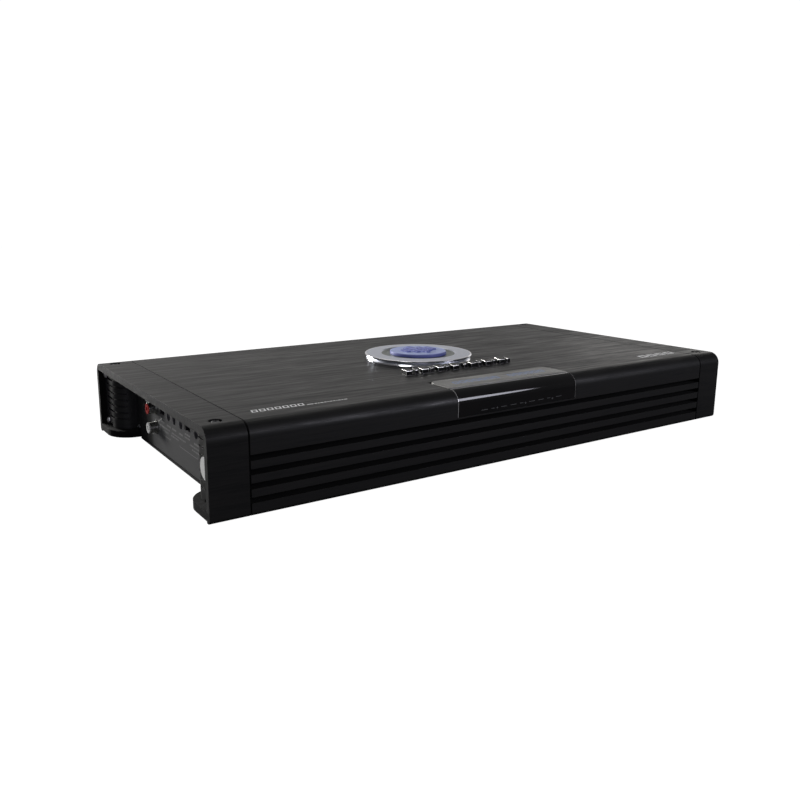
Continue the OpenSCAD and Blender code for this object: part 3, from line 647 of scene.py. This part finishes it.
def badge_line():
    """A thin ornament on the glossy front: a rising line with small lozenges."""
    low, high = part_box("badge_front")
    shapes = []
    for k in range(9):
        u = -36 + 9 * k
        w = 3.2 if k % 3 == 1 else 5.6
        shapes.append(bar(u, 41.1 + 0.12 * k, w, 0.45, 0.2))
        if k % 3 == 1:
            shapes.append([(u + 4.6, 41.4), (u + 5.5, 40.6), (u + 6.4, 41.4), (u + 5.5, 42.2)])
    middle = (low.x + high.x) / 2 / MM
    ink("badge_line", shapes, (middle, low.y / MM, 0), (1, 0, 0), (0, 0, 1), "print_grey",
        "white_label")


def control_panel_marks():
    """Scales round the controls, dashes under them, rules and rows of small print."""
    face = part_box("control_panel")[0].x / MM
    plane = ((face, 0, 0), (0, -1, 0), (0, 0, 1))
    shapes = []
    for i in range(1, 5):
        low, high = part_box(f"control_{i}")
        u, v = -(low.y + high.y) / 2 / MM, (low.z + high.z) / 2 / MM
        shapes += [spoke(u, v, -50 + 28 * k, 4.2, 5.0, 0.35) for k in range(11)]
        shapes += dashes(u - 4.2, u + 4.2, v - 7.8, 1.3, i, 0.9, 2.2, 0.5)
    for i in (1, 2):
        low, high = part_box(f"switch_lever_{i}")
        u, v = -(low.y + high.y) / 2 / MM, (low.z + high.z) / 2 / MM
        shapes += [bar(u - 5 + 3.6 * k, v - 6.2, 2.8, 1.1) for k in range(3)]
        shapes += dashes(u - 5.5, u + 5.5, v - 8.6, 1.1, i + 4, 0.8, 2.0, 0.5)
    # Rows of small print between the controls and the lower edge
    for v, u0, u1, seed in ((22.4, -27, -6, 1), (22.1, -1, 28, 4), (19.6, -20, -9, 5),
                            (19.9, -3, 14, 2), (22.6, 36, 54, 3), (20.0, 40, 56, 8)):
        shapes += dashes(u0, u1, v, 1.1, seed, 0.7, 1.8, 0.95)
    # Rules with feet
    for u0, u1 in ((-22, -4), (15, 50)):
        shapes.append(bar(u0, 16.4, u1 - u0, 0.4))
        shapes += [bar(u, 16.4, 0.4, 1.7) for u in (u0, u1 - 0.4)]
    # Bars beside the jacks
    shapes += [bar(-31.5, v, 4.4, 1.2) for v in (33.2, 18.4)]
    shapes += dashes(-58, -44, 11.2, 1.2, 2)
    ink("control_panel_marks", shapes, *plane, "print_pale", "white_label")
    ink("jack_bar", [bar(-62, 33.9, 14, 1.6)], *plane, "print_white", "white_label")


def power_panel_marks():
    """Plus and minus bars, an earth sign, brackets and dashes."""
    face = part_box("power_panel")[1].x / MM
    plane = ((face, 0, 0), (0, 1, 0), (0, 0, 1))
    shapes = []
    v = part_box("power_strip")[1].z / MM + 2.4
    mid = [(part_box(f"power_clamp_{i}")[0].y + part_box(f"power_clamp_{i}")[1].y) / 2 / MM
           for i in (1, 2, 3)]
    shapes += [bar(mid[0] - 2.2, v + 1.8, 4.4, 0.9), bar(mid[0] - 0.45, v, 0.9, 1.8),
               bar(mid[0] - 0.45, v + 2.7, 0.9, 1.8)]
    shapes += dashes(mid[1] - 4, mid[1] + 4, v + 1.6, 1.2, 4, 0.9, 2.2, 0.5)
    shapes += [bar(mid[2] - 2.4 + 0.8 * k, v + 2.2 - 1.1 * k, 4.8 - 1.6 * k, 0.6) for k in range(3)]
    shapes.append(bar(mid[2] - 0.3, v + 2.8, 0.6, 1.6))
    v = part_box("speaker_strip")[1].z / MM + 2.4
    for i in (1, 2, 3, 4):
        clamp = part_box(f"speaker_clamp_{i}")
        u = (clamp[0].y + clamp[1].y) / 2 / MM
        shapes.append(bar(u - 1.6, v + 1.3, 3.2, 0.7))
        if i % 2:
            shapes += [bar(u - 0.35, v, 0.7, 1.3), bar(u - 0.35, v + 2.0, 0.7, 1.3)]
    for i in (1, 3):
        a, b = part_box(f"speaker_clamp_{i}")[0].y / MM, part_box(f"speaker_clamp_{i + 1}")[1].y / MM
        shapes.append(bar(a, v + 5.2, b - a, 0.4))
        shapes += [bar(u, v + 4.2, 0.4, 1.0) for u in (a, b - 0.4)]
    low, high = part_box("fuse_holder")
    v = high.z / MM + 2.2
    shapes += dashes(low.y / MM + 2, high.y / MM - 2, v, 1.3, 1, 0.9, 2.4, 0.5)
    for strip, seed in (("power_strip", 6), ("speaker_strip", 3)):
        low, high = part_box(strip)
        shapes += dashes(low.y / MM + 4, high.y / MM - 4, low.z / MM - 4.2, 1.2, seed)
    ink("power_panel_marks", shapes, *plane, "print_white", "white_label")


# ---------------------------------------------------------------- stage, light and camera


def stage_plain():
    """A wide pale floor. Only the camera sees it as bright, so that it doesn't light the sides."""
    bm = bmesh.new()
    bmesh.ops.create_grid(bm, x_segments=8, y_segments=8, size=6)
    mesh = bpy.data.meshes.new("floor")
    bm.to_mesh(mesh)
    bm.free()
    floor = bpy.data.objects.new("floor", mesh)
    floor.location.z = cad_low.z - 0.0002
    SCENE.collection.objects.link(floor)
    mat = bpy.data.materials.new("floor_paper")
    mat.use_nodes = True
    tree = mat.node_tree
    tree.nodes.clear()
    out = tree.nodes.new("ShaderNodeOutputMaterial")
    plain = tree.nodes.new("ShaderNodeBsdfDiffuse")
    plain.inputs["Color"].default_value = (0.15, 0.15, 0.15, 1)
    lit = tree.nodes.new("ShaderNodeEmission")
    lit.inputs["Color"].default_value = (1, 1, 1, 1)
    path = tree.nodes.new("ShaderNodeLightPath")
    level = tree.nodes.new("ShaderNodeMath")
    level.operation = "MULTIPLY"
    level.inputs[1].default_value = 0.99
    total = tree.nodes.new("ShaderNodeAddShader")
    tree.links.new(path.outputs["Is Camera Ray"], level.inputs[0])
    tree.links.new(level.outputs[0], lit.inputs["Strength"])
    tree.links.new(plain.outputs[0], total.inputs[0])
    tree.links.new(lit.outputs[0], total.inputs[1])
    tree.links.new(total.outputs[0], out.inputs["Surface"])
    mesh.materials.append(mat)


def studio():
    """White surroundings for the camera, dim ones for the object, and soft lamps round it."""
    world = bpy.data.worlds.new("studio")
    world.use_nodes = True
    tree = world.node_tree
    tree.nodes.clear()
    out = tree.nodes.new("ShaderNodeOutputWorld")
    seen = tree.nodes.new("ShaderNodeBackground")
    seen.inputs["Color"].default_value = (1, 1, 1, 1)
    seen.inputs["Strength"].default_value = 1.05
    fill = tree.nodes.new("ShaderNodeBackground")
    fill.inputs["Color"].default_value = (0.96, 0.97, 1.0, 1)
    fill.inputs["Strength"].default_value = 0.10
    path = tree.nodes.new("ShaderNodeLightPath")
    pick = tree.nodes.new("ShaderNodeMixShader")
    tree.links.new(path.outputs["Is Camera Ray"], pick.inputs[0])
    tree.links.new(fill.outputs[0], pick.inputs[1])
    tree.links.new(seen.outputs[0], pick.inputs[2])
    tree.links.new(pick.outputs[0], out.inputs["Surface"])
    SCENE.world = world
    SCENE.view_settings.view_transform = "Standard"

    def softbox(name, place, target, size, watts, color, roll=0):
        data = bpy.data.lights.new(name, "AREA")
        data.shape = "RECTANGLE"
        data.size, data.size_y = size
        data.energy = watts
        data.color = color
        lamp = bpy.data.objects.new(name, data)
        lamp.location = place
        aim = Vector(target) - Vector(place)
        turn = aim.to_track_quat("-Z", "Y") @ Quaternion((0, 0, 1), math.radians(roll))
        lamp.rotation_euler = turn.to_euler()
        lamp.visible_camera = False
        SCENE.collection.objects.link(lamp)
        return lamp

    softbox("backdrop", (2.1, 2.5, 0.86), (0.0, 0.0, 0.05), (5.0, 1.15), 8.4, (1.0, 0.98, 0.95))
    softbox("right_back", (3.1, 1.5, 0.75), (0.2, 0.0, 0.05), (1.8, 0.9), 3.6, (1.0, 0.98, 0.95))
    softbox("overhead", (0.3, 1.3, 1.9), (0, 0, 0.05), (1.6, 1.2), 6, (1.0, 0.99, 0.97))
    softbox("left_key", (-0.62, 1.80, 0.40), (-0.2, 0, 0.03), (0.7, 0.6), 48, (1.0, 0.99, 0.97))
    softbox("left_glint", (-1.0, -0.30, 1.45), (-0.05, 0, 0.05), (0.55, 0.35), 3, (1.0, 1.0, 1.0))
    softbox("front_fill", (-0.9, -1.7, 0.35), (-0.1, -0.1, 0.03), (1.0, 0.6), 3.4, (0.86, 0.86, 1.0))
    window = softbox("front_window", (0.78, -1.26, 0.48), (-0.095, -0.1225, 0.051),
                     (0.58, 0.44), 5.6, (0.88, 0.88, 1.0), -12.3)
    window.data.shape = "ELLIPSE"


def viewpoint():
    """The camera, where the body's straight edges in the photograph put it."""
    cam = bpy.data.cameras.new("camera")
    cam.sensor_width = 36
    cam.lens = 34.68
    cam.shift_x = 0.0459
    cam.shift_y = -0.0212
    cam.clip_start, cam.clip_end = 0.01, 50
    eye = bpy.data.objects.new("camera", cam)
    eye.location = (-0.3817, -0.5187, 0.1695)
    eye.rotation_euler = (math.radians(90 - 11.83), math.radians(0.04), math.radians(-32.24))
    SCENE.collection.objects.link(eye)
    SCENE.camera = eye


# ---------------------------------------------------------------- the whole picture


stage_plain()
studio()
viewpoint()
top_marks()
badge_line()
control_panel_marks()
power_panel_marks()

# Edge radius in mm of each fixed node
EDGES = {
    0.35: ("left_end_cap", "right_end_cap", "emblem_disc"),
    0.3: ("power_strip", "speaker_strip", "fuse_holder", "fuse_1", "fuse_2"),
    0.25: ("heatsink", "bottom_cover", "emblem_base", "remote_jack", "rca_block"),
    0.15: ("badge_top", "emblem_bars", "control_panel", "power_panel", "rca_shells",
           "rca_insert_red", "rca_insert_white", "corner_screws", "cap_screws", "panel_screws",
           "cover_screws"),
}
for width, names in EDGES.items():
    for name in names:
        soften(name, width)
# Small moving nodes and their surroundings
for name in NODES:
    small = "clamp" in name or "_screw_" in name or name.startswith(("control_", "switch_"))
    if small and name not in EDGES[0.15]:
        soften(name, 0.12)
soften("trim_blocks", 0.24, edge_material=1)
soften("badge_front", 0.3)
# The rounded edges of the corner blocks take the painted highlight coat
soften("corner_blocks", 0.3, edge_material=1)
